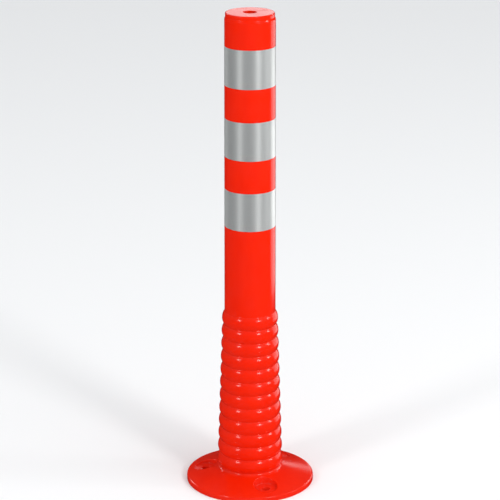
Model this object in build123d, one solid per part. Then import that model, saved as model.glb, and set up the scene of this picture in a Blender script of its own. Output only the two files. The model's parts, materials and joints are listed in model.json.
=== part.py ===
"""Flexible delineator post: a hollow elastomer post with a ribbed section that bends
and springs back, three reflective bands and a round foot that is bolted to the road.

Millimetres. +Z is up, the origin is the centre of the foot's underside, and -Y is the front.
The post is one moulding. It is divided at the grooves between its ribs, because each rib
turns against the next when the post is knocked over.
"""
from build123d import *
import os
from math import acos, atan2, cos, pi, radians, sin, sqrt

os.makedirs("parts", exist_ok=True)

# Overall sizes
POST_HEIGHT = 750.0          # road surface to the top face
FOOT_RADIUS = 100.0

# Foot
RIM_HEIGHT = 9.0             # height of the foot's outer edge
RIM_ROUND = 3.0              # rounding on the rim's upper edge
FLARE_ROUND = 4.0            # hollow rounding where the cone runs up into the ribs
BORE_CHAMFER = 2.0           # lead-in on the underside's opening

# Bolt pockets in the foot
BOLT_COUNT = 3
BOLT_CIRCLE_RADIUS = 71.0
BOLT_FIRST_ANGLE = -70.0     # degrees from +X: front right
BOLT_HOLE_RADIUS = 7.0       # takes an M12 anchor
POCKET_RADIUS = 18.0         # room for a washer and a socket
POCKET_FLOOR = 9.5           # thickness of the foot under a bolt head
DRILL_PAST = 1.0             # how far a bolt hole's cutter starts below the underside

# Ribbed section that bends
RING_COUNT = 12
FLEX_BOTTOM = 26.0           # groove under the lowest rib
FLEX_TOP = 282.0             # groove over the highest rib
FLEX_BOTTOM_RADIUS = 48.2    # outside radius at the lowest groove
FLEX_TOP_RADIUS = 39.6       # outside radius at the highest groove
RING_BULGE = 3.5             # how far a rib stands out of the grooves' cone
CREST_SHARE = 0.45           # where a rib's crest is, as a share of its height from below
GROOVE_ROUND = 1.2           # rounding at the bottom of a groove
FLEX_WALL = 4.5              # wall behind a groove

# Plain tube above the ribs
TUBE_TOP_RADIUS = 38.3
TUBE_WALL = 4.0
TOP_WALL = 6.0               # thickness of the closed top
TOP_HOLE_RADIUS = 10.0       # core hole, which also takes a chain eye or a lamp spigot
TOP_ROUND = 1.5              # rounding on the top face's edge
HEAD_HEIGHT = 6.5            # narrow collar at the very top
HEAD_STEP = 1.2              # how much narrower the collar is
SHOULDER_HEIGHT = 3.0        # slope from the collar out to the tube
INNER_ROUND = 5.0            # rounding inside the closed top

# Reflective bands
BAND_COUNT = 3
BAND_WIDTH = 60.0
BAND_GAP = 50.0
FIRST_BAND_DROP = 50.0       # top face to the top of the first band
BAND_THICKNESS = 0.6
BAND_EDGE_GAP = 0.4          # between a band's edge and its recess's edge
ADHESIVE = 0.05              # between a band and the recess's floor
OVERLAP_WIDTH = 14.0         # where the strip's end laps over its start, at the back
BAND_RECESS = BAND_THICKNESS + ADHESIVE   # a band lies flush with the tube

RING_PITCH = (FLEX_TOP - FLEX_BOTTOM) / RING_COUNT
RING_NAMES = [f"flex_ring_{number + 1:02d}" for number in range(RING_COUNT)]
BAND_NAMES = ["upper_band", "middle_band", "lower_band"]


def flex_radius(z):
    """Outside radius of the grooves' cone at a height."""
    share = (z - FLEX_BOTTOM) / (FLEX_TOP - FLEX_BOTTOM)
    return FLEX_BOTTOM_RADIUS + (FLEX_TOP_RADIUS - FLEX_BOTTOM_RADIUS) * share


def tube_radius(z):
    """Outside radius of the plain tube at a height."""
    share = (z - FLEX_TOP) / (POST_HEIGHT - FLEX_TOP)
    return FLEX_TOP_RADIUS + (TUBE_TOP_RADIUS - FLEX_TOP_RADIUS) * share


def turn(outline):
    """Solid of revolution about Z from a closed outline in the XZ plane."""
    return revolve(make_face(Plane.XZ * outline), Axis.Z)


def segment(start, end):
    """Straight line between two (radius, height) points."""
    return Line(start, end)


def arc_between(centre, start, end):
    """The shorter arc about a centre from one (radius, height) point to another."""
    radius = sqrt((start[0] - centre[0]) ** 2 + (start[1] - centre[1]) ** 2)
    first = atan2(start[1] - centre[1], start[0] - centre[0])
    last = atan2(end[1] - centre[1], end[0] - centre[0])
    if abs(last - first) > pi:
        last += 2 * pi if last < first else -2 * pi
    middle = (first + last) / 2
    midpoint = (centre[0] + radius * cos(middle), centre[1] + radius * sin(middle))
    return ThreePointArc(start, midpoint, end)


def rib_half(crest, groove):
    """Two tangent arcs from a rib's crest to the bottom of a groove, level with its plane."""
    rise = crest[0] - groove[0]
    reach = abs(groove[1] - crest[1])
    radii_sum = (rise ** 2 + reach ** 2) / (2 * rise)
    rib_round = radii_sum - GROOVE_ROUND
    rib_centre = (crest[0] - rib_round, crest[1])
    groove_centre = (groove[0] + GROOVE_ROUND, groove[1])
    share = rib_round / radii_sum
    tangent_point = (rib_centre[0] + (groove_centre[0] - rib_centre[0]) * share,
                     rib_centre[1] + (groove_centre[1] - rib_centre[1]) * share)
    return [arc_between(rib_centre, crest, tangent_point),
            arc_between(groove_centre, tangent_point, groove)]


def make_ring(number):
    """One rib of the bending section, from the middle of one groove to the next."""
    low = FLEX_BOTTOM + number * RING_PITCH
    high = low + RING_PITCH
    crest_height = low + CREST_SHARE * RING_PITCH
    crest = (flex_radius(crest_height) + RING_BULGE, crest_height)
    low_groove = (flex_radius(low), low)
    high_groove = (flex_radius(high), high)
    low_bore = (low_groove[0] - FLEX_WALL, low)
    high_bore = (high_groove[0] - FLEX_WALL, high)
    outline = Curve() + rib_half(crest, low_groove) + rib_half(crest, high_groove)
    outline += [segment(low_groove, low_bore), segment(low_bore, high_bore),
                segment(high_bore, high_groove)]
    return turn(outline)


def bolt_places():
    """Centres of the bolt holes, seen from above."""
    return [(BOLT_CIRCLE_RADIUS * cos(radians(angle)), BOLT_CIRCLE_RADIUS * sin(radians(angle)))
            for angle in (BOLT_FIRST_ANGLE + 360.0 * k / BOLT_COUNT for k in range(BOLT_COUNT))]


def make_foot():
    """Low round cone with an open centre, a rounded rim and a pocket for each bolt."""
    bore = FLEX_BOTTOM_RADIUS - FLEX_WALL
    rim_inner = FOOT_RADIUS - RIM_ROUND
    flare_top = (FLEX_BOTTOM_RADIUS, FLEX_BOTTOM)
    rim_top = (rim_inner, RIM_HEIGHT)
    # The flare's arc starts upright at the groove and runs out along the cone to the rim.
    centre = (flare_top[0] + FLARE_ROUND, flare_top[1])
    reach = sqrt((rim_top[0] - centre[0]) ** 2 + (rim_top[1] - centre[1]) ** 2)
    swing = atan2(rim_top[1] - centre[1], rim_top[0] - centre[0]) - acos(FLARE_ROUND / reach)
    flare_end = (centre[0] + FLARE_ROUND * cos(swing), centre[1] + FLARE_ROUND * sin(swing))
    rim_centre = (rim_inner, RIM_HEIGHT - RIM_ROUND)
    rim_side = (FOOT_RADIUS, RIM_HEIGHT - RIM_ROUND)
    outline = Curve() + [
        segment((bore, FLEX_BOTTOM), flare_top),
        arc_between(centre, flare_top, flare_end),
        segment(flare_end, rim_top),
        arc_between(rim_centre, rim_top, rim_side),
        segment(rim_side, (FOOT_RADIUS, 0)),
        segment((FOOT_RADIUS, 0), (bore + BORE_CHAMFER, 0)),
        segment((bore + BORE_CHAMFER, 0), (bore, BORE_CHAMFER)),
        segment((bore, BORE_CHAMFER), (bore, FLEX_BOTTOM)),
    ]
    foot = turn(outline)
    for x, y in bolt_places():
        pocket = Cylinder(POCKET_RADIUS, FLEX_BOTTOM, align=(Align.CENTER, Align.CENTER, Align.MIN))
        hole = Cylinder(BOLT_HOLE_RADIUS, FLEX_BOTTOM, align=(Align.CENTER, Align.CENTER, Align.MIN))
        foot -= Pos(x, y, POCKET_FLOOR) * pocket
        foot -= Pos(x, y, -DRILL_PAST) * hole
    return foot


def band_limits(number):
    """Lower and upper height of a band, counted from the top."""
    high = POST_HEIGHT - FIRST_BAND_DROP - number * (BAND_WIDTH + BAND_GAP)
    return high - BAND_WIDTH, high


def cone_shell(low, high, inner, outer):
    """Ring between two heights, with its faces set off from the tube's outside."""
    outline = Curve() + [
        segment((tube_radius(low) + inner, low), (tube_radius(low) + outer, low)),
        segment((tube_radius(low) + outer, low), (tube_radius(high) + outer, high)),
        segment((tube_radius(high) + outer, high), (tube_radius(high) + inner, high)),
        segment((tube_radius(high) + inner, high), (tube_radius(low) + inner, low)),
    ]
    return turn(outline)


def make_tube():
    """Plain tube with a closed, collared top and a shallow recess for each band."""
    collar = TUBE_TOP_RADIUS - HEAD_STEP
    collar_base = POST_HEIGHT - HEAD_HEIGHT
    shoulder = collar_base - SHOULDER_HEIGHT
    ceiling = POST_HEIGHT - TOP_WALL
    inner_top = collar - TUBE_WALL
    low_bore = FLEX_TOP_RADIUS - FLEX_WALL
    outline = Curve() + [
        segment((low_bore, FLEX_TOP), (FLEX_TOP_RADIUS, FLEX_TOP)),
        segment((FLEX_TOP_RADIUS, FLEX_TOP), (tube_radius(shoulder), shoulder)),
        segment((tube_radius(shoulder), shoulder), (collar, collar_base)),
        segment((collar, collar_base), (collar, POST_HEIGHT - TOP_ROUND)),
        arc_between((collar - TOP_ROUND, POST_HEIGHT - TOP_ROUND),
                    (collar, POST_HEIGHT - TOP_ROUND), (collar - TOP_ROUND, POST_HEIGHT)),
        segment((collar - TOP_ROUND, POST_HEIGHT), (TOP_HOLE_RADIUS, POST_HEIGHT)),
        segment((TOP_HOLE_RADIUS, POST_HEIGHT), (TOP_HOLE_RADIUS, ceiling)),
        segment((TOP_HOLE_RADIUS, ceiling), (inner_top - INNER_ROUND, ceiling)),
        arc_between((inner_top - INNER_ROUND, ceiling - INNER_ROUND),
                    (inner_top - INNER_ROUND, ceiling), (inner_top, ceiling - INNER_ROUND)),
        segment((inner_top, ceiling - INNER_ROUND), (low_bore, FLEX_TOP)),
    ]
    tube = turn(outline)
    for number in range(BAND_COUNT):
        low, high = band_limits(number)
        tube -= cone_shell(low, high, -BAND_RECESS, BAND_RECESS)
    return tube


def make_band(number):
    """Strip of reflective sheeting round the tube, lapped over its own start at the back."""
    low, high = band_limits(number)
    low += BAND_EDGE_GAP
    high -= BAND_EDGE_GAP
    strip = cone_shell(low, high, -BAND_THICKNESS, 0)
    lap = cone_shell(low, high, -BAND_THICKNESS / 2, BAND_THICKNESS)
    window = Box(OVERLAP_WIDTH, FOOT_RADIUS, POST_HEIGHT,
                 align=(Align.CENTER, Align.MIN, Align.MIN))
    return strip + (lap & window)


def write_part(name, shape):
    export_step(shape, f"parts/{name}.step")


write_part("foot", make_foot())
for ring_number, ring_name in enumerate(RING_NAMES):
    write_part(ring_name, make_ring(ring_number))
write_part("post_tube", make_tube())
for band_number, band_name in enumerate(BAND_NAMES):
    write_part(band_name, make_band(band_number))
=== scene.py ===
import json
from math import atan2, acos, ceil, cos, pi, radians, sin, sqrt, tau

import bmesh
import bpy
from bpy.props import FloatProperty, FloatVectorProperty, IntProperty, PointerProperty
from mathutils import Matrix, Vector
from mathutils.geometry import delaunay_2d_cdt


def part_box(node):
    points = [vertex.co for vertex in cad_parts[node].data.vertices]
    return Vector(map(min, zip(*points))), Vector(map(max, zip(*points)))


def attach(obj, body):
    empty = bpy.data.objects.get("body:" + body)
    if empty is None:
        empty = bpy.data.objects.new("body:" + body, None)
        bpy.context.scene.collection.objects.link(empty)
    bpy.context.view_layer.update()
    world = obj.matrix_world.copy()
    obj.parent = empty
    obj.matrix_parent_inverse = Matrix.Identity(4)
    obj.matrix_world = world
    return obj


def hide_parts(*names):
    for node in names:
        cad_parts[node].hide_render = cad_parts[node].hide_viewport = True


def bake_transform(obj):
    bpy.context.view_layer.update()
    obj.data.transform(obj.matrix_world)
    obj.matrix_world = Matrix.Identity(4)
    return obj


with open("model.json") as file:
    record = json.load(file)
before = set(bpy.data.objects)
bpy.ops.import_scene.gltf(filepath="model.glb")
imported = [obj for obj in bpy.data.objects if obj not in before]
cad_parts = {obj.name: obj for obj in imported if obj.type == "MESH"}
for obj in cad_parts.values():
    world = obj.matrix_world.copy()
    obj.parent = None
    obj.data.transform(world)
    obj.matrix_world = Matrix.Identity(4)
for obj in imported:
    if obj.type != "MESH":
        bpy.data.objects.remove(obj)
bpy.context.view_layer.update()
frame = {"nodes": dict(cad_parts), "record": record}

bl_info = {
    "name": "Delineator Post",
    "version": (1, 0, 0),
    "blender": (4, 5, 0),
    "location": "View3D > Sidebar > Delineator",
    "description": "Flexible road post with bending ribs, reflective bands and a bolt-down foot",
    "category": "Add Mesh",
}

# The moulding's own layout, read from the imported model: -Y is the front and +Z is up.
BODIES = ["foot"] + [f"rib_{number:02d}" for number in range(2, 13)] + ["post"]
RING_NODES = sorted(name for name in frame["nodes"] if name.startswith("flex_ring_"))
BAND_NODES = ["upper_band", "middle_band", "lower_band"]
MOUNTS = {mount["name"]: mount for mount in frame["record"]["mounts"]}
POCKET_BOXES = [opening["box_m"] for opening in frame["record"]["physics"]["openings"]
                if opening["name"].startswith("bolt_pocket_")]

FOOT_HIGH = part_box("foot")[1]
FLEX_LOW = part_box(RING_NODES[0])[0]
FLEX_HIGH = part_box(RING_NODES[-1])[1]
TUBE_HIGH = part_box("post_tube")[1]

PLACE = "rest_place"     # attribute: where a point is when the post stands straight
# The elastomer's material paints shade, mixed with dust, where this attribute is high
HOLLOW = "hollow"        # attribute: 1 at the bottom of a groove or in a corner, 0 on open surfaces

WELD = 1e-6              # points of a mesh that are closer than this are one point
SHARP = radians(50)      # an edge that turns by more than this is shaded as an edge
EASE = 0.4               # flat run beside a rounding, as a share of it, which keeps its shading clean
LEVEL = 0.99             # a face whose normal is more upright than this is a flat end
MOUTH_RUN = 1.3          # reach of a pocket's mouth into the cone, as a multiple of its rounding
ROUNDING_LIMIT = 0.42    # largest share of a low wall's height that one of its roundings takes
SLIVER = 0.4             # clear space round a hole in a filled face, as a share of its spacing
FLAT_RING = 3            # flat ring kept round a bolt hole, as a multiple of its rounding
FLARE_STEPS = 12         # divisions of the hollow rounding over the foot's cone

# Where dust and painted shade settle on the foot
POCKET_DUST_AND_SHADE = 0.25       # least share of it on a pocket's wall and floor
POCKET_REACH = 0.006     # how far it reaches from a pocket's wall
RIBS_REACH = 0.008       # how far it reaches from the lowest groove
LIP_DEPTH = 0.0004       # how far under the cone a pocket's dust starts
SOLE = 0.001             # height up to which a point belongs to the underside
SLACK = 0.0001           # how far outside a pocket's radius its wall still counts


def length(name, default, description):
    """A property that holds a length."""
    return FloatProperty(name=name, description=description, default=default, unit="LENGTH")


def count(name, default, description):
    """A property that holds a number of divisions."""
    return IntProperty(name=name, description=description, default=default)


def factor(name, default, description):
    """A property that holds a share or a strength."""
    return FloatProperty(name=name, description=description, default=default, subtype="FACTOR")


def colour(name, default, description):
    """A property that holds a colour."""
    return FloatVectorProperty(name=name, description=description, default=default,
                               subtype="COLOR", min=0, max=1)


class DelineatorFlex(bpy.types.PropertyGroup):
    """Sizes of the ribbed section that bends."""
    bottom: length("Bottom", FLEX_LOW.z, "Height of the groove under the lowest rib")
    top: length("Top", FLEX_HIGH.z, "Height of the groove over the highest rib")
    bottom_radius: length("Bottom Radius", 0.0482, "Outside radius at the lowest groove")
    top_radius: length(
        "Top Radius", TUBE_HIGH.x, "Outside radius at the highest groove, where the tube begins")
    bulge: length("Bulge", 0.0035, "How far a rib stands out of the grooves' cone")
    crest_share: factor(
        "Crest Share", 0.45, "Where a rib's crest is, as a share of its height from below")
    groove_round: length("Groove Round", 0.0012, "Rounding at the bottom of a groove")
    wall: length("Wall", 0.0045, "Thickness of the wall behind a groove")
    sleeve_end: length(
        "Sleeve End", 0.2937, "Height up to which the tube above the ribs bends with them")
    segments: count("Segments", 160, "Divisions round a rib")
    steps: count("Steps", 18, "Divisions of a rib's outline on each side of a groove")


class DelineatorTube(bpy.types.PropertyGroup):
    """Sizes of the plain tube and its closed top."""
    top_radius: length("Top Radius", 0.0383, "Outside radius of the tube at its top")
    wall: length("Wall", 0.004, "Thickness of the tube's wall at the top")
    top_wall: length(
        "Top Wall", MOUNTS["top_hole"]["dims"]["length_mm"] / 1000, "Thickness of the closed top")
    hole_radius: length(
        "Hole Radius", MOUNTS["top_hole"]["dims"]["r_mm"] / 1000, "Radius of the hole in the top")
    hole_round: length("Hole Round", 0.0009, "Rounding on the hole's edge")
    collar_height: length("Collar Height", 0.0065, "Height of the narrower collar at the very top")
    collar_step: length("Collar Step", 0.0012, "How much narrower the collar is than the tube")
    shoulder: length("Shoulder", 0.003, "Height of the slope from the collar out to the tube")
    top_round: length("Top Round", 0.0015, "Rounding on the top face's edge")
    inner_round: length("Inner Round", 0.005, "Rounding inside the closed top")
    shoulder_round: length("Shoulder Round", 0.0008, "Rounding on the shoulder's edges")
    lip_round: length("Lip Round", 0.0002, "Rounding on the edges of a band's recess")
    segments: count("Segments", 192, "Divisions round the tube")


class DelineatorBands(bpy.types.PropertyGroup):
    """Sizes of the reflective bands."""
    thickness: length("Thickness", 0.0006, "Thickness of the sheeting")
    recess: length("Recess", 0.00065, "Depth of the recess that a band lies in")
    edge_gap: length("Edge Gap", 0.0004, "Gap between a band's edge and its recess's edge")
    lap: length("Lap", 0.014, "How far a strip's end laps over its start, at the back")
    rise: length("Rise", 0.005, "Length over which the strip climbs onto its own start")
    lap_lift: factor("Lap Lift", 0.98, "How far the lap is lifted, as a share of the thickness")
    edge_round: length("Edge Round", 0.00016, "Rounding on a strip's outer edges")
    segments: count("Segments", 256, "Divisions along a strip")


class DelineatorFoot(bpy.types.PropertyGroup):
    """Sizes of the foot and its bolt pockets."""
    radius: length("Radius", FOOT_HIGH.x, "Radius of the foot")
    rim_height: length("Rim Height", 0.009, "Height of the foot's outer edge")
    rim_round: length("Rim Round", 0.003, "Rounding on the rim's upper edge")
    under_round: length("Under Round", 0.0006, "Rounding on the rim's lower edge")
    flare_round: length("Flare Round", 0.004, "Hollow rounding where the cone runs up into the ribs")
    bore_chamfer: length("Bore Chamfer", 0.002, "Lead-in on the underside's opening")
    pocket_radius: length("Pocket Radius", 0.018, "Radius of a bolt pocket")
    pocket_floor: length("Pocket Floor", 0.0095, "Thickness of the foot under a bolt head")
    pocket_lip: length(
        "Pocket Lip", 0.0014, "Rounding on a pocket's upper edge, where its wall is high")
    pocket_corner: length(
        "Pocket Corner", 0.0018, "Rounding round a pocket's floor, where its wall is high")
    hole_radius: length(
        "Hole Radius", MOUNTS["anchor_bolts"]["dims"]["hole_r_mm"] / 1000, "Radius of a bolt hole")
    hole_round: length("Hole Round", 0.0005, "Rounding on a bolt hole's edges")
    pocket_draft: factor("Pocket Draft", 0.05, "Lean of a pocket's wall, as a share of its height")
    cone_spacing: length("Cone Spacing", 0.0016, "Size of the faces on the cone")
    under_spacing: length("Under Spacing", 0.006, "Size of the faces on the underside")
    segments: count("Segments", 240, "Divisions round the foot")
    pocket_segments: count("Pocket Segments", 96, "Divisions round a bolt pocket")


class DelineatorFinish(bpy.types.PropertyGroup):
    """Colours and finishes."""
    elastomer: colour("Elastomer", (0.90, 0.017, 0.0006), "Colour of the moulding")
    elastomer_deep: colour(
        "Elastomer Deep", (0.82, 0.012, 0.0005),
        "Colour of the moulding in the pigment's darker streaks")
    elastomer_roughness: factor("Elastomer Roughness", 0.16, "Roughness of the moulding's skin")
    pigment_contrast: factor("Pigment Contrast", 1.6, "How clearly the pigment's streaks show")
    elastomer_scuffs: factor("Elastomer Scuffs", 0.22, "How much rougher a scuff on the moulding is")
    elastomer_dust: factor("Elastomer Dust", 0.9, "How much rougher dust makes the moulding")
    scuff_depth: factor("Scuff Depth", 0.12, "How deep a scuff looks")
    sheet: colour("Sheeting", (0.88, 0.90, 0.89), "Colour of the reflective sheeting")
    sheet_roughness: factor("Sheeting Roughness", 0.50, "Roughness of the sheeting")
    sheet_scuffs: factor("Sheeting Scuffs", 0.2, "How much rougher a scuff on the sheeting is")
    bead_shade: factor("Bead Shade", 0.86, "Brightness of the sheeting between its beads")
    bead_roughness: factor("Bead Roughness", 0.06, "How much rougher it is between the beads")
    bead_height: factor("Bead Height", 0.25, "How far the beads stand out")
    unevenness: factor("Unevenness", 0.10, "How much the roughness varies from place to place")
    # Dust colour, also used for the painted shade in grooves and pocket corners
    dust_and_shade: colour("Dust", (0.34, 0.27, 0.22), "Colour of road dust in corners")


class DelineatorStage(bpy.types.PropertyGroup):
    """Camera, floor and lights."""
    camera_distance: length(
        "Camera Distance", 3.040, "From the post's axis to the camera, along the floor")
    camera_height: length("Camera Height", 1.367, "Height of the camera")
    camera_tilt: FloatProperty(
        name="Camera Tilt", description="How far the camera looks down",
        default=radians(18.0), subtype="ANGLE")
    lens: FloatProperty(
        name="Lens", description="Focal length in millimetres, on a sensor 36 mm wide", default=149.8)
    floor_reach: length("Floor Reach", 30.0, "From the post to the floor's edges")
    floor: colour("Floor", (0.90, 0.90, 0.90), "Colour of the floor")
    room: colour("Room", (0.96, 0.98, 1.0), "Colour of the room's light")
    room_light: factor("Room Light", 0.76, "Strength of the even light from the whole room")
    mirrored: factor(
        "Mirrored", 0.03, "How bright the room and floor look in the post's gloss, as a share")


# Meshes

def tube_radius(scene, z):
    """Outside radius of the plain tube at a height."""
    flex, tube = scene.delineator_flex, scene.delineator_tube
    share = (z - flex.top) / (TUBE_HIGH.z - flex.top)
    return flex.top_radius + (tube.top_radius - flex.top_radius) * share


def rounded(corners, steps=6):
    """Outline through (across, up, rounding) corners, with an arc at each rounded one."""
    points = []
    count = len(corners)
    for place, (across, up, rounding) in enumerate(corners):
        corner = Vector((across, up))
        if not rounding:
            points.append(corner)
            continue
        before = (Vector(corners[place - 1][:2]) - corner).normalized()
        after = (Vector(corners[(place + 1) % count][:2]) - corner).normalized()
        half = before.angle(after) / 2
        reach = rounding * cos(half) / sin(half)
        middle = corner + (before + after).normalized() * rounding / sin(half)
        start, end = corner + before * reach, corner + after * reach
        turn = (start - middle).angle_signed(end - middle)
        points.append(start + before * rounding * EASE)
        for step in range(steps + 1):
            angle = turn * step / steps
            arm = start - middle
            points.append(middle + Vector((arm.x * cos(angle) + arm.y * sin(angle),
                                           arm.y * cos(angle) - arm.x * sin(angle))))
        points.append(end + after * rounding * EASE)
    return points


def turned(bm, outline, segments, closed=True):
    """Faces of revolution about Z from (radius, height) points."""
    rings = [[bm.verts.new((point[0] * cos(tau * k / segments), point[0] * sin(tau * k / segments),
                            point[1])) for k in range(segments)] for point in outline]
    pairs = zip(rings, rings[1:] + rings[:1]) if closed else zip(rings, rings[1:])
    for low, high in pairs:
        for k in range(segments):
            after = (k + 1) % segments
            bm.faces.new((low[k], low[after], high[after], high[k]))


def quarter(steps):
    """Sine and cosine at even steps through a quarter turn."""
    return [(sin(pi / 2 * step / steps), cos(pi / 2 * step / steps)) for step in range(steps + 1)]


def finished(name, mesh, hollow=None, set_edges=True):
    """A piece of the post from a closed mesh, with the attributes that its material reads."""
    bm = bmesh.new()
    bm.from_mesh(mesh)
    bmesh.ops.remove_doubles(bm, verts=bm.verts, dist=WELD)
    if bm.calc_volume(signed=True) < 0:
        bmesh.ops.reverse_faces(bm, faces=bm.faces)
    open_edges = sum(1 for edge in bm.edges if len(edge.link_faces) != 2)
    if open_edges:
        raise RuntimeError(f"{name} has {open_edges} edges that don't join two faces")
    if set_edges:
        for face in bm.faces:
            face.smooth = True
        for edge in bm.edges:
            edge.smooth = edge.calc_face_angle() < SHARP
    bm.to_mesh(mesh)
    bm.free()
    mesh.name = name
    place = mesh.attributes.get(PLACE) or mesh.attributes.new(PLACE, "FLOAT_VECTOR", "POINT")
    place.data.foreach_set("vector", [part for vertex in mesh.vertices for part in vertex.co])
    if hollow or HOLLOW not in mesh.attributes:
        shade = mesh.attributes.get(HOLLOW) or mesh.attributes.new(HOLLOW, "FLOAT", "POINT")
        shade.data.foreach_set("value", [hollow(vertex.co) if hollow else 0.0
                                         for vertex in mesh.vertices])
    piece = bpy.data.objects.new(name, mesh)
    bpy.context.scene.collection.objects.link(piece)
    return piece


# Node trees

class Value:
    """A value in a node tree, which can be added, multiplied and compared."""

    def __init__(self, tree, socket):
        self.tree, self.socket = tree, socket

    def math(self, operation, *others, turned_round=False):
        node = self.tree.nodes.new("ShaderNodeMath")
        node.operation = operation
        values = (self, *others)
        for socket, value in zip(node.inputs, reversed(values) if turned_round else values):
            if isinstance(value, Value):
                self.tree.links.new(value.socket, socket)
            else:
                socket.default_value = value
        return Value(self.tree, node.outputs[0])

    def __add__(self, other):
        return self.math("ADD", other)

    def __radd__(self, other):
        return self.math("ADD", other)

    def __sub__(self, other):
        return self.math("SUBTRACT", other)

    def __rsub__(self, other):
        return self.math("SUBTRACT", other, turned_round=True)

    def __mul__(self, other):
        return self.math("MULTIPLY", other)

    def __rmul__(self, other):
        return self.math("MULTIPLY", other)

    def __truediv__(self, other):
        return self.math("DIVIDE", other)

    def above(self, other):
        return self.math("GREATER_THAN", other)

    def clamped(self):
        return self.math("MAXIMUM", 0.0).math("MINIMUM", 1.0)

    def ramp(self, start, steepness):
        """0 up to a start, from where it rises to 1."""
        return ((self - start) * steepness).clamped()

    def smooth(self):
        """0 to 1, starting and ending gently."""
        return self * self * (3.0 - 2.0 * self)

    def choose(self, low, high):
        """low where this is 0 and high where it is 1."""
        return low + self * (high - low)


def add_socket(tree, name, kind, way="INPUT", default=None):
    socket = tree.interface.new_socket(name=name, in_out=way, socket_type=f"NodeSocket{kind}")
    if default is not None:
        socket.default_value = default
    return socket


def give(tree, node, **inputs):
    """Values or links for a node's named inputs; underscores stand for spaces."""
    for name, value in inputs.items():
        socket = node.inputs[name.replace("_", " ")]
        if isinstance(value, Value):
            tree.links.new(value.socket, socket)
        elif isinstance(value, bpy.types.NodeSocket):
            tree.links.new(value, socket)
        else:
            socket.default_value = value


def join(tree, kind, settings=None, **inputs):
    """A new node with its settings and inputs."""
    node = tree.nodes.new(kind)
    for name, value in (settings or {}).items():
        setattr(node, name, value)
    give(tree, node, **inputs)
    return node


FLEX_SIZES = ("Start Height", "Middle Height", "End Height", "Flex Bottom", "Flex Top",
              "Bottom Radius", "Top Radius", "Tube Slope", "Bulge", "Crest Share",
              "Groove Round", "Wall")
FLEX_COUNTS = ("Rib Count", "Segments", "Steps")


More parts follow.
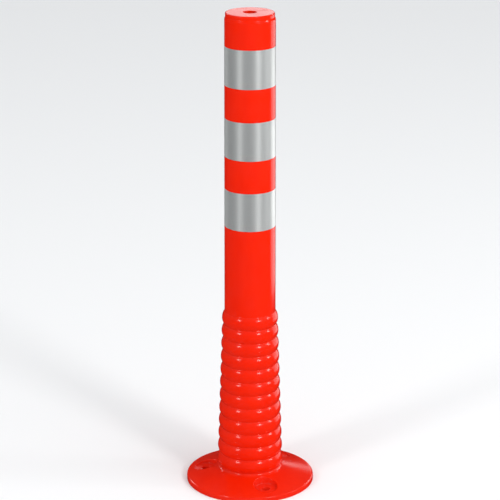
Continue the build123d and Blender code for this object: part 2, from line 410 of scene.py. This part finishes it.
def flex_tree():
    """Geometry Nodes: a length of the ribbed wall, turned about Z, between three heights."""
    tree = bpy.data.node_groups.get("flex_wall")
    if tree:
        return tree
    tree = bpy.data.node_groups.new("flex_wall", "GeometryNodeTree")
    tree.is_modifier = True
    add_socket(tree, "Geometry", "Geometry", "OUTPUT")
    for name in FLEX_SIZES:
        add_socket(tree, name, "Float")
    for name in FLEX_COUNTS:
        add_socket(tree, name, "Int")
    add_socket(tree, "Material", "Material")
    given = tree.nodes.new("NodeGroupInput")
    (start, middle, end, bottom, top, bottom_radius, top_radius, slope, bulge, crest_share,
     groove_round, wall, count, segments, steps) = [
        Value(tree, given.outputs[name]) for name in FLEX_SIZES + FLEX_COUNTS]

    rows = steps * 3.0 + 2.0
    grid = join(tree, "GeometryNodeMeshGrid", Size_X=1.0, Size_Y=1.0,
                Vertices_X=segments + 1.0, Vertices_Y=rows + 1.0)
    parts = join(tree, "ShaderNodeSeparateXYZ",
                 Vector=tree.nodes.new("GeometryNodeInputPosition").outputs[0])
    angle = (Value(tree, parts.outputs["X"]) + 0.5) * tau
    row = ((Value(tree, parts.outputs["Y"]) + 0.5) * rows).math("ROUND")

    # Up the outside in two runs that are close-stepped at their ends, then down the inside.
    outside = row / steps
    upper_run = outside.above(1.0)
    run_share = (outside - upper_run).clamped().smooth()
    outer_height = upper_run.choose(start, middle) + run_share * upper_run.choose(
        middle - start, end - middle)
    inner_share = ((rows - 1.0 - row) / steps).clamped()
    inner_height = start + inner_share * (end - start)
    inside = row.above(steps * 2.0 + 0.5) * (1.0 - row.above(rows - 0.5))
    z = inside.choose(outer_height, inner_height)
    z = row.above(rows - 0.5).choose(z, start)

    pitch = (top - bottom) / count
    rib = ((z - bottom) / pitch).math("FLOOR").math("MAXIMUM", 0.0).math("MINIMUM", count - 1.0)
    low = bottom + rib * pitch
    crest = low + crest_share * pitch
    groove = z.above(crest).choose(low, low + pitch)

    def cone(height):
        return bottom_radius + (top_radius - bottom_radius) * ((height - bottom) / (top - bottom))

    crest_radius = cone(crest) + bulge
    groove_radius = cone(groove)
    rise = crest_radius - groove_radius
    reach = (groove - crest).math("ABSOLUTE")
    radii_sum = (rise * rise + reach * reach) / (rise * 2.0)
    rib_round = radii_sum - groove_round
    from_crest = (z - crest).math("ABSOLUTE")
    from_groove = (z - groove).math("ABSOLUTE")
    on_rib = crest_radius - rib_round + (
        rib_round * rib_round - from_crest * from_crest).math("MAXIMUM", 0.0).math("SQRT")
    in_groove = groove_radius + groove_round - (
        groove_round * groove_round - from_groove * from_groove).math("MAXIMUM", 0.0).math("SQRT")
    past_tangent = from_crest.above(reach * rib_round / radii_sum)
    ribbed = past_tangent.choose(on_rib, in_groove)
    on_tube = z.above(top)
    plain = top_radius + (z - top) * slope
    cone_here = on_tube.choose(cone(z), plain)
    outer_radius = on_tube.choose(ribbed, plain)
    radius = inside.choose(outer_radius, cone_here - wall)
    # How deep a point lies in a groove, which the material darkens with painted shade and dust
    depth = (1.0 - (outer_radius - cone_here) / bulge).clamped()
    hollow = (1.0 - on_tube) * (1.0 - inside) * depth

    place = join(tree, "ShaderNodeCombineXYZ", X=radius * angle.math("COSINE"),
                 Y=radius * angle.math("SINE"), Z=z)
    stored = join(tree, "GeometryNodeStoreNamedAttribute", {"data_type": "FLOAT", "domain": "POINT"},
                  Geometry=grid.outputs["Mesh"], Name=HOLLOW, Value=hollow)
    set_place = join(tree, "GeometryNodeSetPosition", Geometry=stored.outputs["Geometry"],
                     Position=place.outputs[0])
    merged = join(tree, "GeometryNodeMergeByDistance", Geometry=set_place.outputs["Geometry"],
                  Distance=WELD)
    facing = join(tree, "ShaderNodeSeparateXYZ",
                  Vector=tree.nodes.new("GeometryNodeInputNormal").outputs[0])
    slanted = 1.0 - Value(tree, facing.outputs["Z"]).math("ABSOLUTE").above(LEVEL)
    flat_ends = join(tree, "GeometryNodeSetShadeSmooth", Geometry=merged.outputs["Geometry"],
                     Shade_Smooth=slanted)
    coloured = join(tree, "GeometryNodeSetMaterial", Geometry=flat_ends.outputs["Geometry"],
                    Material=given.outputs["Material"])
    join(tree, "NodeGroupOutput", Geometry=coloured.outputs["Geometry"])
    return tree


def grown(name, tree, values):
    """The plain mesh that a Geometry Nodes tree makes from values for its named inputs."""
    blank = bpy.data.meshes.new(f"{name}_blank")
    holder = bpy.data.objects.new(f"{name}_holder", blank)
    bpy.context.scene.collection.objects.link(holder)
    modifier = holder.modifiers.new(tree.name, "NODES")
    modifier.node_group = tree
    keys = {item.name: item.identifier for item in tree.interface.items_tree
            if item.item_type == "SOCKET" and item.in_out == "INPUT"}
    for socket_name, value in values.items():
        modifier[keys[socket_name]] = value
    evaluated = holder.evaluated_get(bpy.context.evaluated_depsgraph_get())
    mesh = bpy.data.meshes.new_from_object(evaluated)
    mesh.materials.clear()
    mesh.materials.append(values["Material"])
    bpy.data.objects.remove(holder)
    bpy.data.meshes.remove(blank)
    return mesh


# Materials

def group_start(name, numbers, outputs):
    """A shader node group with a Place input, named numbers and named outputs."""
    group = bpy.data.node_groups.new(name, "ShaderNodeTree")
    add_socket(group, "Place", "Vector")
    for socket_name, default in numbers.items():
        add_socket(group, socket_name, "Float", default=default)
    for socket_name in outputs:
        add_socket(group, socket_name, "Float", "OUTPUT")
    given = group.nodes.new("NodeGroupInput")
    return group, {name: Value(group, given.outputs[name]) for name in ("Place", *numbers)}


def noise(tree, place, scale, detail=3.0, roughness=0.5):
    node = join(tree, "ShaderNodeTexNoise", Vector=place, Scale=scale, Detail=detail,
                Roughness=roughness)
    return Value(tree, node.outputs["Fac"])


def stretched(tree, place, scale):
    node = join(tree, "ShaderNodeMapping", Vector=place, Scale=scale)
    return Value(tree, node.outputs[0])


def skin_group():
    """Skin of a moulded or laminated surface: fine grain and a slow waviness, as a height."""
    group = bpy.data.node_groups.get("surface_skin")
    if group:
        return group
    group, given = group_start("surface_skin", {
        "Grain Scale": 900.0, "Grain": 0.3, "Wave Scale": 60.0, "Wave": 0.7}, ("Height", "Variation"))
    grain = noise(group, given["Place"], given["Grain Scale"], detail=4.0, roughness=0.6)
    wave = noise(group, given["Place"], given["Wave Scale"], detail=1.0, roughness=0.4)
    height = grain * given["Grain"] + wave * given["Wave"]
    join(group, "NodeGroupOutput", Height=height, Variation=wave)
    return group


def scuff_group():
    """Hair-fine scratches that run round and along the post, as a mask."""
    group = bpy.data.node_groups.get("fine_scuffs")
    if group:
        return group
    group, given = group_start("fine_scuffs", {"Amount": 0.5}, ("Mask",))
    round_the_post = noise(group, stretched(group, given["Place"], (25.0, 25.0, 2600.0)),
                           scale=1.0, detail=2.0)
    along = noise(group, stretched(group, given["Place"], (2200.0, 2200.0, 35.0)),
                  scale=1.0, detail=2.0)
    patches = noise(group, given["Place"], scale=28.0, detail=2.0)
    lines = (round_the_post.ramp(start=0.66, steepness=14.0)
             + along.ramp(start=0.70, steepness=14.0))
    mask = (lines * patches.ramp(start=0.42, steepness=5.0) * given["Amount"]).clamped()
    join(group, "NodeGroupOutput", Mask=mask)
    return group


def dust_and_shade_group():
    """Mask of road dust, thickest near the road, and of painted shade with dust in hollows, broken up
    by noise.
    """
    group = bpy.data.node_groups.get("road_dust")
    if group:
        return group
    group, given = group_start("road_dust", {
        "Hollow": 0.0, "Reach": 0.03, "Amount": 0.5}, ("Mask",))
    height = join(group, "ShaderNodeSeparateXYZ", Vector=given["Place"])
    low = (1.0 - Value(group, height.outputs["Z"]) / given["Reach"]).clamped().smooth()
    speckle = noise(group, given["Place"], scale=420.0, detail=5.0, roughness=0.7)
    cloud = noise(group, given["Place"], scale=45.0, detail=3.0)
    held = (low + given["Hollow"]) * cloud
    mask = (held * speckle.ramp(start=0.35, steepness=3.0) * given["Amount"]).clamped()
    join(group, "NodeGroupOutput", Mask=mask)
    return group


def use_group(tree, group, **inputs):
    node = join(tree, "ShaderNodeGroup", {"node_tree": group}, **inputs)
    return {socket.name: Value(tree, socket) for socket in node.outputs}


def colour_mix(tree, share, first, second):
    node = tree.nodes.new("ShaderNodeMix")
    node.data_type = "RGBA"
    tree.links.new(share.socket, node.inputs["Factor"])
    colour_sockets = [socket for socket in node.inputs if socket.type == "RGBA"]
    for socket, value in zip(colour_sockets, (first, second)):
        if isinstance(value, Value):
            tree.links.new(value.socket, socket)
        else:
            socket.default_value = (*value, 1.0)
    result = [socket for socket in node.outputs if socket.type == "RGBA"][0]
    return Value(tree, result)


def new_material(name):
    material = bpy.data.materials.new(name)
    material.use_nodes = True
    tree = material.node_tree
    shader = tree.nodes["Principled BSDF"]
    place = Value(tree, join(tree, "ShaderNodeAttribute",
                             {"attribute_name": PLACE}).outputs["Vector"])
    hollow = Value(tree, join(tree, "ShaderNodeAttribute",
                              {"attribute_name": HOLLOW}).outputs["Fac"])
    return material, tree, shader, place, hollow


def elastomer_material():
    """Glossy red-orange polyurethane, as it comes out of the mould."""
    if "glossy_elastomer" in bpy.data.materials:
        return bpy.data.materials["glossy_elastomer"]
    finish = bpy.context.scene.delineator_finish
    material, tree, shader, place, hollow = new_material("glossy_elastomer")
    skin = use_group(tree, skin_group(), Place=place, Grain_Scale=1100.0, Grain=0.18,
                     Wave_Scale=42.0, Wave=1.0)
    scuffs = use_group(tree, scuff_group(), Place=place, Amount=0.35)
    # Painted shade in grooves and pocket corners, mixed with road dust near the ground
    dust_and_shade = use_group(tree, dust_and_shade_group(), Place=place, Hollow=hollow, Reach=0.02, Amount=0.10)
    flow = noise(tree, stretched(tree, place, (1.0, 1.0, 0.28)),
                 scale=38.0, detail=4.0, roughness=0.55)
    pigment = ((flow - 0.5) * finish.pigment_contrast + 0.5).clamped()
    shade = colour_mix(tree, pigment, tuple(finish.elastomer_deep), tuple(finish.elastomer))
    shade = colour_mix(tree, dust_and_shade["Mask"], shade, tuple(finish.dust_and_shade))
    roughness = (finish.elastomer_roughness + (skin["Variation"] - 0.5) * finish.unevenness
                 + scuffs["Mask"] * finish.elastomer_scuffs + dust_and_shade["Mask"] * finish.elastomer_dust)
    bump = join(tree, "ShaderNodeBump", Strength=0.35, Distance=0.0003,
                Height=skin["Height"] - scuffs["Mask"] * finish.scuff_depth)
    give(tree, shader, Base_Color=shade, Roughness=roughness, Normal=bump.outputs["Normal"],
         IOR=1.5, Specular_IOR_Level=0.3, Coat_Weight=0.06, Coat_Roughness=0.08)
    return material


def sheet_material():
    """Silver glass-bead reflective sheeting under a clear film."""
    if "bead_sheeting" in bpy.data.materials:
        return bpy.data.materials["bead_sheeting"]
    finish = bpy.context.scene.delineator_finish
    material, tree, shader, place, hollow = new_material("bead_sheeting")
    skin = use_group(tree, skin_group(), Place=place, Grain_Scale=2600.0, Grain=0.35,
                     Wave_Scale=55.0, Wave=0.6)
    scuffs = use_group(tree, scuff_group(), Place=place, Amount=0.4)
    dust_and_shade = use_group(tree, dust_and_shade_group(), Place=place, Hollow=hollow, Reach=0.02, Amount=0.2)
    beads = Value(tree, join(tree, "ShaderNodeTexVoronoi", Vector=place,
                             Scale=3200.0).outputs["Distance"])
    between = beads.ramp(start=0.25, steepness=1.4)
    dim = tuple(channel * finish.bead_shade for channel in finish.sheet)
    shade = colour_mix(tree, between, tuple(finish.sheet), dim)
    shade = colour_mix(tree, dust_and_shade["Mask"], shade, tuple(finish.dust_and_shade))
    roughness = (finish.sheet_roughness + (skin["Variation"] - 0.5) * finish.unevenness
                 + between * finish.bead_roughness + scuffs["Mask"] * finish.sheet_scuffs)
    bump = join(tree, "ShaderNodeBump", Strength=0.3, Distance=0.0002,
                Height=skin["Height"] + beads * finish.bead_height)
    give(tree, shader, Base_Color=shade, Roughness=roughness, Normal=bump.outputs["Normal"],
         Metallic=0.7, Anisotropic=0.8, Anisotropic_Rotation=0.25,
         Coat_Weight=0.3, Coat_Roughness=0.08)
    return material


# Operators

class DELINEATOR_OT_flex_section(bpy.types.Operator):
    """Make the ribbed section, as one sleeve across each groove"""
    bl_idname = "delineator.flex_section"
    bl_label = "Flex Section"

    def execute(self, context):
        scene = context.scene
        flex = scene.delineator_flex
        count = len(RING_NODES)
        pitch = (flex.top - flex.bottom) / count
        grooves = [flex.bottom + pitch * number for number in range(count + 1)]
        crests = [groove + pitch * flex.crest_share for groove in grooves[:-1]]
        slope = (scene.delineator_tube.top_radius - flex.top_radius) / (TUBE_HIGH.z - flex.top)
        values = {
            "Flex Bottom": flex.bottom, "Flex Top": flex.top,
            "Bottom Radius": flex.bottom_radius, "Top Radius": flex.top_radius,
            "Tube Slope": slope, "Bulge": flex.bulge, "Crest Share": flex.crest_share,
            "Groove Round": flex.groove_round, "Wall": flex.wall, "Rib Count": count,
            "Segments": flex.segments, "Steps": flex.steps, "Material": elastomer_material(),
        }
        ends = crests + [flex.sleeve_end]
        lengths = [("flex_root", grooves[0], (grooves[0] + crests[0]) / 2, crests[0])]
        lengths += [(f"flex_sleeve_{k + 1:02d}", crests[k], grooves[k + 1], ends[k + 1])
                    for k in range(count)]
        for number, (name, start, middle, end) in enumerate(lengths):
            mesh = grown(name, flex_tree(), dict(values, **{
                "Start Height": start, "Middle Height": middle, "End Height": end}))
            piece = finished(name, mesh, set_edges=False)
            if number == 0:
                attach(piece, BODIES[0])
                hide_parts(RING_NODES[0])
            else:
                BODIES[number - 1]
                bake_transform(piece)
                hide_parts(RING_NODES[number - 1])
        return {"FINISHED"}


class DELINEATOR_OT_tube(bpy.types.Operator):
    """Make the plain tube with its collared top and the recesses for the bands"""
    bl_idname = "delineator.tube"
    bl_label = "Tube"

    def execute(self, context):
        scene = context.scene
        flex, tube, bands = scene.delineator_flex, scene.delineator_tube, scene.delineator_bands
        height = TUBE_HIGH.z
        collar = tube.top_radius - tube.collar_step
        collar_base = height - tube.collar_height
        shoulder = collar_base - tube.shoulder
        ceiling = height - tube.top_wall
        bottom = flex.sleeve_end
        bottom_radius = tube_radius(scene, bottom)
        corners = [(bottom_radius, bottom, 0)]
        for node in reversed(BAND_NODES):
            low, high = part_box(node)
            low, high = low.z - bands.edge_gap, high.z + bands.edge_gap
            for z, depth in ((low, 0), (low, bands.recess), (high, bands.recess), (high, 0)):
                corners.append((tube_radius(scene, z) - depth, z, tube.lip_round))
        corners += [
            (tube_radius(scene, shoulder), shoulder, tube.shoulder_round),
            (collar, collar_base, tube.shoulder_round),
            (collar, height, tube.top_round),
            (tube.hole_radius, height, tube.hole_round),
            (tube.hole_radius, ceiling, tube.hole_round),
            (collar - tube.wall, ceiling, tube.inner_round),
            (bottom_radius - flex.wall, bottom, 0),
        ]
        bm = bmesh.new()
        turned(bm, rounded(corners), tube.segments)
        mesh = bpy.data.meshes.new("tube")
        bm.to_mesh(mesh)
        bm.free()
        mesh.materials.append(elastomer_material())
        piece = finished("tube", mesh)
        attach(piece, "post")
        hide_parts("post_tube")
        return {"FINISHED"}


class DELINEATOR_OT_bands(bpy.types.Operator):
    """Wrap a strip of reflective sheeting round the tube in each recess"""
    bl_idname = "delineator.bands"
    bl_label = "Reflective Bands"

    def execute(self, context):
        scene = context.scene
        bands = scene.delineator_bands
        for node in BAND_NODES:
            low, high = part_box(node)
            piece = finished(node + "_strip", self.strip(scene, bands, low.z, high.z))
            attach(piece, "post")
            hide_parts(node)
        return {"FINISHED"}

    def strip(self, scene, bands, low, high):
        """A strip wound once round the tube, with its end lapped over its start."""
        radius = tube_radius(scene, (low + high) / 2)
        lap, rise = bands.lap / radius, bands.rise / radius
        first = pi / 2 - lap / 2
        steps = bands.segments
        section = rounded([(-bands.thickness, low, 0), (0.0, low, bands.edge_round),
                           (0.0, high, bands.edge_round), (-bands.thickness, high, 0)], steps=4)
        bm = bmesh.new()
        rings = []
        for step in range(steps + 1):
            turn = (tau + lap) * step / steps
            climb = min(max((turn - tau + rise) / rise, 0.0), 1.0)
            proud = bands.thickness * bands.lap_lift * climb * climb * (3 - 2 * climb)
            ring = []
            for point in section:
                reach = tube_radius(scene, point.y) + point.x + proud
                ring.append(bm.verts.new((reach * cos(first + turn), reach * sin(first + turn),
                                          point.y)))
            rings.append(ring)
        for before, after in zip(rings, rings[1:]):
            for k in range(len(section)):
                following = (k + 1) % len(section)
                bm.faces.new((before[k], after[k], after[following], before[following]))
        bm.faces.new(rings[0])
        bm.faces.new(reversed(rings[-1]))
        mesh = bpy.data.meshes.new("strip")
        bm.to_mesh(mesh)
        bm.free()
        mesh.materials.append(sheet_material())
        return mesh


class DELINEATOR_OT_foot(bpy.types.Operator):
    """Make the round foot with its rim, open centre and bolt pockets"""
    bl_idname = "delineator.foot"
    bl_label = "Foot"

    def execute(self, context):
        scene = context.scene
        foot, flex = scene.delineator_foot, scene.delineator_flex
        bore = flex.bottom_radius - flex.wall
        rim_inner = foot.radius - foot.rim_round
        centre = (flex.bottom_radius + foot.flare_round, flex.bottom)
        away = (rim_inner - centre[0], foot.rim_height - centre[1])
        reach = sqrt(away[0] ** 2 + away[1] ** 2)
        swing = atan2(away[1], away[0]) - acos(foot.flare_round / reach)
        flare = []
        for step in range(FLARE_STEPS + 1):
            angle = pi + (swing + tau - pi) * step / FLARE_STEPS
            flare.append((centre[0] + foot.flare_round * cos(angle),
                          centre[1] + foot.flare_round * sin(angle)))
        self.cone_start = flare[-1]
        self.cone_end = (rim_inner, foot.rim_height)
        self.foot = foot
        rim = [(rim_inner + foot.rim_round * sine, foot.rim_height - foot.rim_round * (1 - cosine))
               for sine, cosine in quarter(8)]
        edge = foot.under_round
        eased = edge * (1 + EASE)
        under = [(foot.radius, eased)]
        under += [(foot.radius - edge * (1 - cosine), edge * (1 - sine))
                  for sine, cosine in quarter(4)]
        under += [(foot.radius - eased, 0.0)]
        middle = [(bore + foot.bore_chamfer, 0.0), (bore, foot.bore_chamfer),
                  (bore, flex.bottom)] + flare

        bm = bmesh.new()
        turned(bm, rim + under, foot.segments, closed=False)
        turned(bm, middle, foot.segments, closed=False)
        pockets = [self.pocket_centre(box) for box in POCKET_BOXES]
        for pocket in pockets:
            self.sink_pocket(bm, pocket)
        self.fill(bm, self.cone_start[0], rim_inner, pockets, self.mouth_radius(),
                  self.cone_height, foot.cone_spacing)
        self.fill(bm, bore + foot.bore_chamfer, foot.radius - eased, pockets,
                  foot.hole_radius + foot.hole_round, lambda x, y: 0.0, foot.under_spacing)
        mesh = bpy.data.meshes.new("foot")
        bmesh.ops.remove_doubles(bm, verts=bm.verts, dist=2 * WELD)
        bmesh.ops.recalc_face_normals(bm, faces=bm.faces)
        bm.to_mesh(mesh)
        bm.free()
        mesh.materials.append(elastomer_material())

        def hollow(place):
            """Deep in a pocket's corner or at the flare, where the foot gets painted shade with dust.
            """
            depths = [0.0]
            for x, y in pockets:
                gap = foot.pocket_radius - sqrt((place.x - x) ** 2 + (place.y - y) ** 2)
                under_cone = self.cone_height(place.x, place.y) - place.z
                if gap > -SLACK and under_cone > LIP_DEPTH and place.z > SOLE:
                    depths.append(max(POCKET_DUST_AND_SHADE, 1 - gap / POCKET_REACH))
            from_axis = sqrt(place.x ** 2 + place.y ** 2)
            depths.append(1 - (from_axis - flex.bottom_radius) / RIBS_REACH)
            return min(max(depths), 1.0)

        piece = finished("foot_moulding", mesh, hollow)
        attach(piece, "foot")
        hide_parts("foot")
        return {"FINISHED"}

    @staticmethod
    def pocket_centre(box):
        return ((box[0][0] + box[1][0]) / 2, (box[0][1] + box[1][1]) / 2)

    def mouth_radius(self):
        """Radius where a pocket's rounded edge has run out into the cone."""
        return self.foot.pocket_radius + self.foot.pocket_lip * MOUTH_RUN

    def cone_height(self, x, y):
        """Height of the foot's cone over a place."""
        share = (sqrt(x * x + y * y) - self.cone_start[0]) / (self.cone_end[0] - self.cone_start[0])
        return self.cone_start[1] + (self.cone_end[1] - self.cone_start[1]) * share

    def sink_pocket(self, bm, pocket):
        """One bolt pocket with rounded edges, from the cone down to the hole's lower edge."""
        foot = self.foot
        floor, hole, hole_round = foot.pocket_floor, foot.hole_radius, foot.hole_round
        columns = []
        for k in range(foot.pocket_segments):
            angle = tau * k / foot.pocket_segments
            across, along = cos(angle), sin(angle)

            def over(reach):
                return self.cone_height(pocket[0] + reach * across, pocket[1] + reach * along)

            # Where the wall is low, its two roundings shrink and leave a little wall between them.
            wall = over(foot.pocket_radius) - floor
            lip = min(foot.pocket_lip, wall * ROUNDING_LIMIT)
            corner = min(foot.pocket_corner, wall * ROUNDING_LIMIT)
            base = foot.pocket_radius - (wall - lip - corner) * foot.pocket_draft
            column = [(self.mouth_radius(), over(self.mouth_radius()))]
            for sine, cosine in quarter(6):
                reach = foot.pocket_radius + lip * (1 - sine)
                column.append((reach, over(reach) - lip * (1 - cosine)))
            column += [(base - corner * (1 - cosine), floor + corner * (1 - sine))
                       for sine, cosine in quarter(6)]
            column.append((hole + hole_round * FLAT_RING, floor))
            column += [(hole + hole_round * (1 - sine), floor - hole_round * (1 - cosine))
                       for sine, cosine in quarter(3)]
            column += [(hole + hole_round * (1 - cosine), hole_round * (1 - sine))
                       for sine, cosine in quarter(3)]
            columns.append([bm.verts.new((pocket[0] + reach * across, pocket[1] + reach * along, z))
                            for reach, z in column])
        for here, there in zip(columns, columns[1:] + columns[:1]):
            for step in range(len(here) - 1):
                bm.faces.new((here[step], there[step], there[step + 1], here[step + 1]))

    def fill(self, bm, inner, outer, holes, hole_radius, height, spacing):
        """Triangles over the ring between two circles, leaving round holes."""
        points, edges = [], []

        def loop(x, y, radius, count):
            first = len(points)
            for k in range(count):
                points.append(Vector((x + radius * cos(tau * k / count),
                                      y + radius * sin(tau * k / count))))
                edges.append((first + k, first + (k + 1) % count))

        loop(0, 0, outer, self.foot.segments)
        loop(0, 0, inner, self.foot.segments)
        for x, y in holes:
            loop(x, y, hole_radius, self.foot.pocket_segments)
        rows = ceil((outer - inner) / spacing)
        for row in range(1, rows):
            radius = inner + (outer - inner) * row / rows
            for k in range(self.foot.segments):
                place = Vector((radius * cos(tau * k / self.foot.segments),
                                radius * sin(tau * k / self.foot.segments)))
                clear = hole_radius + spacing * SLIVER
                if all((place - Vector(hole)).length > clear for hole in holes):
                    points.append(place)
        placed, _, faces, *_ = delaunay_2d_cdt(points, edges, [], 0, WELD / 10)
        verts = [bm.verts.new((point.x, point.y, height(point.x, point.y))) for point in placed]
        for face in faces:
            middle = sum((placed[index] for index in face), Vector((0, 0))) / len(face)
            in_ring = inner < middle.length < outer
            if in_ring and all((middle - Vector(hole)).length > hole_radius - WELD for hole in holes):
                bm.faces.new([verts[index] for index in face])
        for vert in verts:
            if not vert.link_faces:
                bm.verts.remove(vert)


class DELINEATOR_OT_stage(bpy.types.Operator):
    """Set out the floor, the soft studio lights and the camera"""
    bl_idname = "delineator.stage"
    bl_label = "Stage"

    def execute(self, context):
        scene = context.scene
        stage = scene.delineator_stage
        mesh = bpy.data.meshes.new("floor")
        reach = stage.floor_reach
        mesh.from_pydata([(-reach, -reach, 0), (reach, -reach, 0), (reach, reach, 0),
                          (-reach, reach, 0)], [], [(0, 1, 2, 3)])
        floor = bpy.data.objects.new("floor", mesh)
        scene.collection.objects.link(floor)
        mesh.materials.append(self.floor_material(stage))
        scene.world = self.studio_world(stage)
        scene.view_settings.view_transform = "Standard"

        middle = Vector((0.0, 0.0, TUBE_HIGH.z * 0.5))
        top = Vector((0.0, 0.0, TUBE_HIGH.z))
        # name, aimed at, degrees round from the front, degrees up, distance, width, height,
        # brightness, seen in the gloss, lighting the matt surfaces
        for name, aim, around, up, away, wide, tall, brightness, in_gloss, in_matt in (
                ("left_softbox", middle, -47, 24, 5.0, 0.9, 0.9, 15.0, True, True),
                ("right_softbox", middle, 38, 24, 5.0, 0.9, 0.9, 19.0, True, True),
                ("side_softbox", middle, 85, 23, 5.0, 0.8, 0.9, 13.0, True, True),
                ("back_card", top, 175, 11.5, 7.0, 2.4, 0.9, 1.7, True, False),
                ("side_card", middle, 127, -5, 0.95, 0.70, 0.58, 1.6, True, False),
                ("rear_left_softbox", middle, -138, 24, 5.0, 0.9, 0.9, 11.0, True, False),
                ("rear_right_softbox", middle, 138, 24, 5.0, 0.9, 0.9, 11.0, True, False),
                ("right_fill", middle, 55, 35, 2.6, 2.0, 2.0, 1.3, False, True)):
            light = bpy.data.lights.new(name, "AREA")
            light.shape = "RECTANGLE"
            light.size, light.size_y = wide, tall
            light.energy = brightness * pi * wide * tall    # watts, from the panel's radiance
            holder = bpy.data.objects.new(name, light)
            turn, rise = radians(around), radians(up)
            holder.location = aim + away * Vector((
                sin(turn) * cos(rise), -cos(turn) * cos(rise), sin(rise)))
            holder.rotation_euler = (aim - holder.location).to_track_quat("-Z", "Y").to_euler()
            holder.visible_glossy = in_gloss
            holder.visible_diffuse = in_matt
            holder.visible_camera = False
            scene.collection.objects.link(holder)

        camera = bpy.data.cameras.new("camera")
        camera.lens = stage.lens
        camera.sensor_width = 36.0
        holder = bpy.data.objects.new("camera", camera)
        holder.location = (0.0, -stage.camera_distance, stage.camera_height)
        holder.rotation_euler = (pi / 2 - stage.camera_tilt, 0.0, 0.0)
        scene.collection.objects.link(holder)
        scene.camera = holder
        return {"FINISHED"}

    @staticmethod
    def floor_material(stage):
        """Pale matt floor, which gloss on the post mirrors as if it were in shade."""
        material = bpy.data.materials.new("studio_floor")
        material.use_nodes = True
        tree = material.node_tree
        tree.nodes.clear()
        pale = join(tree, "ShaderNodeBsdfDiffuse", Color=(*stage.floor, 1.0), Roughness=0.5)
        dim = (*(stage.mirrored * part for part in stage.floor), 1.0)
        shade = join(tree, "ShaderNodeBsdfDiffuse", Color=dim)
        light_path = tree.nodes.new("ShaderNodeLightPath")
        mixed = join(tree, "ShaderNodeMixShader", Fac=light_path.outputs["Is Glossy Ray"])
        tree.links.new(pale.outputs[0], mixed.inputs[1])
        tree.links.new(shade.outputs[0], mixed.inputs[2])
        join(tree, "ShaderNodeOutputMaterial", Surface=mixed.outputs[0])
        return material

    @staticmethod
    def studio_world(stage):
        """Even soft light from the whole room, nearly dark in mirrored gloss."""
        world = bpy.data.worlds.new("studio")
        world.use_nodes = True
        tree = world.node_tree
        background = tree.nodes["Background"]
        background.inputs["Color"].default_value = (*stage.room, 1.0)
        light_path = tree.nodes.new("ShaderNodeLightPath")
        glossy = Value(tree, light_path.outputs["Is Glossy Ray"])
        strength = glossy.choose(stage.room_light, stage.room_light * stage.mirrored)
        tree.links.new(strength.socket, background.inputs["Strength"])
        world.cycles.sampling_method = "NONE"
        return world


OPERATORS = (DELINEATOR_OT_foot, DELINEATOR_OT_flex_section, DELINEATOR_OT_tube,
             DELINEATOR_OT_bands, DELINEATOR_OT_stage)
GROUPS = {"delineator_flex": DelineatorFlex, "delineator_tube": DelineatorTube,
          "delineator_bands": DelineatorBands, "delineator_foot": DelineatorFoot,
          "delineator_finish": DelineatorFinish, "delineator_stage": DelineatorStage}


class DELINEATOR_PT_panel(bpy.types.Panel):
    """Sizes, colours and the pieces of the post"""
    bl_idname = "DELINEATOR_PT_panel"
    bl_label = "Delineator Post"
    bl_space_type = "VIEW_3D"
    bl_region_type = "UI"
    bl_category = "Delineator"

    def draw(self, context):
        layout = self.layout
        for operator in OPERATORS:
            layout.operator(operator.bl_idname)
        for group_name in GROUPS:
            box = layout.box()
            group = getattr(context.scene, group_name)
            box.label(text=group_name.removeprefix("delineator_").capitalize())
            for prop in group.bl_rna.properties:
                if prop.identifier not in {"rna_type", "name"}:
                    box.prop(group, prop.identifier)


CLASSES = (*GROUPS.values(), *OPERATORS, DELINEATOR_PT_panel)


def register():
    for made in CLASSES:
        bpy.utils.register_class(made)
    for group_name, group in GROUPS.items():
        setattr(bpy.types.Scene, group_name, PointerProperty(type=group))


def unregister():
    for group_name in GROUPS:
        delattr(bpy.types.Scene, group_name)
    for made in reversed(CLASSES):
        bpy.utils.unregister_class(made)


def main():
    register()
    bpy.ops.delineator.foot()
    bpy.ops.delineator.flex_section()
    bpy.ops.delineator.tube()
    bpy.ops.delineator.bands()
    bpy.ops.delineator.stage()


if __name__ == "__main__":
    main()
